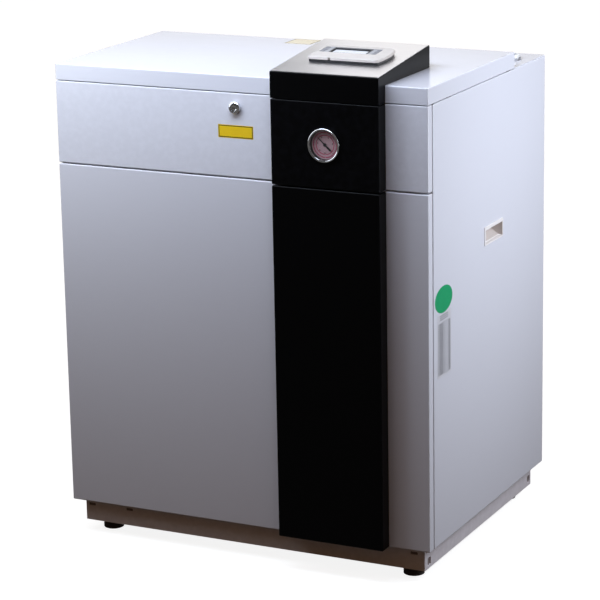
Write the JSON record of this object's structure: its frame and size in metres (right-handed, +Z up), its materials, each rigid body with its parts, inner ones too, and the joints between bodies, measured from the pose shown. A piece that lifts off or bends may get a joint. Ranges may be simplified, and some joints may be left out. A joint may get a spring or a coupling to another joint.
{
  "type": "ground source heat pump",
  "caption": "Free-standing ground source heat pump: white cabinet with a black front column, dial gauge, sloping console with a controller, hinged service door and water ports on top.",
  "frame": {"origin": "on the floor, under the middle of the bounding box", "axes": "+Z up, the front with the black column faces -Y, +X to the right seen from the front"},
  "size_m": [0.804, 0.642, 1.0252],
  "materials": {
    "white_powder_coat": "semi-gloss white powder coat",
    "black_powder_coat": "satin black powder coat",
    "grey_paint": "satin grey-brown paint",
    "zinc": "galvanised sheet",
    "brushed_steel": "brushed",
    "chrome": "polished",
    "brass": "plain brass",
    "copper": "plain copper tube",
    "stainless": "stainless steel",
    "rubber": "matt black",
    "ivory_plastic": "ivory",
    "silver_plastic": "silver grey",
    "dark_plastic": "near black",
    "grey_plastic": "mid grey",
    "circuit_board": "green lacquer",
    "dial_face": "printed dial",
    "clear_glass": "clear",
    "black_enamel": "gloss black enamel"
  },
  "bodies": {
    "cabinet": {"base_pan": "grey_paint", "left_side_panel": "white_powder_coat", "right_side_panel": "white_powder_coat", "rear_panel": "white_powder_coat", "lid": "white_powder_coat", "rear_deck": "white_powder_coat", "lower_front_panel": "white_powder_coat", "lower_column_cover": "black_powder_coat", "front_post_left": "zinc", "front_post_right": "zinc", "left_handle": "ivory_plastic", "right_handle": "ivory_plastic", "cable_gland": "dark_plastic", "control_box": "zinc", "din_rail": "zinc", "circuit_breaker": "ivory_plastic", "contactor": "dark_plastic", "terminal_block": "grey_plastic", "control_board": "circuit_board", "console_housing": "black_powder_coat", "console_top_plate": "brushed_steel", "controller_base": "dark_plastic", "controller_shell": "silver_plastic", "display_window": "dark_plastic", "compressor": "black_enamel", "condenser": "stainless", "evaporator": "stainless", "exchanger_bracket": "zinc", "discharge_pipe": "copper", "suction_pipe": "copper", "liquid_pipe": "copper", "filter_drier": "black_enamel", "expansion_valve": "brass", "heating_flow_pipe": "copper", "heating_return_pipe": "copper", "source_inlet_pipe": "copper", "source_outlet_pipe": "copper", "pump_outlet_pipe": "copper", "pump_housing": "black_enamel"},
    "service_door": {"upper_front_panel": "white_powder_coat", "upper_column_cover": "black_powder_coat", "gauge_case": "chrome", "gauge_dial": "dial_face", "gauge_glass": "clear_glass", "lock_body": "chrome"},
    "lock_plug": {"lock_plug_cam": "chrome"},
    "needle": {"gauge_needle": "dark_plastic"},
    "toggle": {"breaker_toggle": "dark_plastic"},
    "rotor": {"pump_rotor": "brass"},
    "key_menu": {"key_menu": "grey_plastic"},
    "key_program": {"key_program": "grey_plastic"},
    "key_escape": {"key_escape": "grey_plastic"},
    "key_up": {"key_up": "grey_plastic"},
    "key_enter": {"key_enter": "grey_plastic"},
    "key_down": {"key_down": "grey_plastic"},
    "foot_front_left": {"levelling_foot_front_left": "rubber"},
    "foot_front_right": {"levelling_foot_front_right": "rubber"},
    "foot_rear_left": {"levelling_foot_rear_left": "rubber"},
    "foot_rear_right": {"levelling_foot_rear_right": "rubber"}
  },
  "joints": [
    {"name": "door_hinge", "type": "hinge", "parent": "cabinet", "child": "service_door", "pos_m": [-0.3945, -0.2725, 0.779], "axis": [0, 0, -1], "range_deg": [0, 110]},
    {"name": "lock_turn", "type": "hinge", "parent": "service_door", "child": "lock_plug", "pos_m": [0, -0.285, 0.9157], "axis": [0, 1, 0], "range_deg": [0, 90]},
    {"name": "needle_turn", "type": "hinge", "parent": "service_door", "child": "needle", "pos_m": [0.2015, -0.315, 0.8625], "axis": [0, 1, 0], "range_deg": [-87, 182], "stiffness_Nm_per_rad": 0.0002},
    {"name": "breaker_throw", "type": "hinge", "parent": "cabinet", "child": "toggle", "pos_m": [-0.3002, -0.178, 0.8575], "axis": [1, 0, 0], "range_deg": [0, 50]},
    {"name": "rotor_spin", "type": "hinge", "parent": "cabinet", "child": "rotor", "pos_m": [-0.041, 0.245, 0.43], "axis": [1, 0, 0], "continuous": true},
    {"name": "key_menu_press", "type": "slide", "parent": "cabinet", "child": "key_menu", "axis": [0, 0.1033, -0.9946], "range_m": [0, 0.0006], "stiffness_N_per_m": 300, "springref_m": -0.0005},
    {"name": "key_program_press", "type": "slide", "parent": "cabinet", "child": "key_program", "axis": [0, 0.1033, -0.9946], "range_m": [0, 0.0006], "stiffness_N_per_m": 300, "springref_m": -0.0005},
    {"name": "key_escape_press", "type": "slide", "parent": "cabinet", "child": "key_escape", "axis": [0, 0.1033, -0.9946], "range_m": [0, 0.0006], "stiffness_N_per_m": 300, "springref_m": -0.0005},
    {"name": "key_up_press", "type": "slide", "parent": "cabinet", "child": "key_up", "axis": [0, 0.1033, -0.9946], "range_m": [0, 0.0006], "stiffness_N_per_m": 300, "springref_m": -0.0005},
    {"name": "key_enter_press", "type": "slide", "parent": "cabinet", "child": "key_enter", "axis": [0, 0.1033, -0.9946], "range_m": [0, 0.0006], "stiffness_N_per_m": 300, "springref_m": -0.0005},
    {"name": "key_down_press", "type": "slide", "parent": "cabinet", "child": "key_down", "axis": [0, 0.1033, -0.9946], "range_m": [0, 0.0006], "stiffness_N_per_m": 300, "springref_m": -0.0005},
    {"name": "foot_front_left_screw", "type": "slide", "parent": "cabinet", "child": "foot_front_left", "axis": [0, 0, -1], "range_m": [0, 0.015]},
    {"name": "foot_front_right_screw", "type": "slide", "parent": "cabinet", "child": "foot_front_right", "axis": [0, 0, -1], "range_m": [0, 0.015]},
    {"name": "foot_rear_left_screw", "type": "slide", "parent": "cabinet", "child": "foot_rear_left", "axis": [0, 0, -1], "range_m": [0, 0.015]},
    {"name": "foot_rear_right_screw", "type": "slide", "parent": "cabinet", "child": "foot_rear_right", "axis": [0, 0, -1], "range_m": [0, 0.015]}
  ]
}
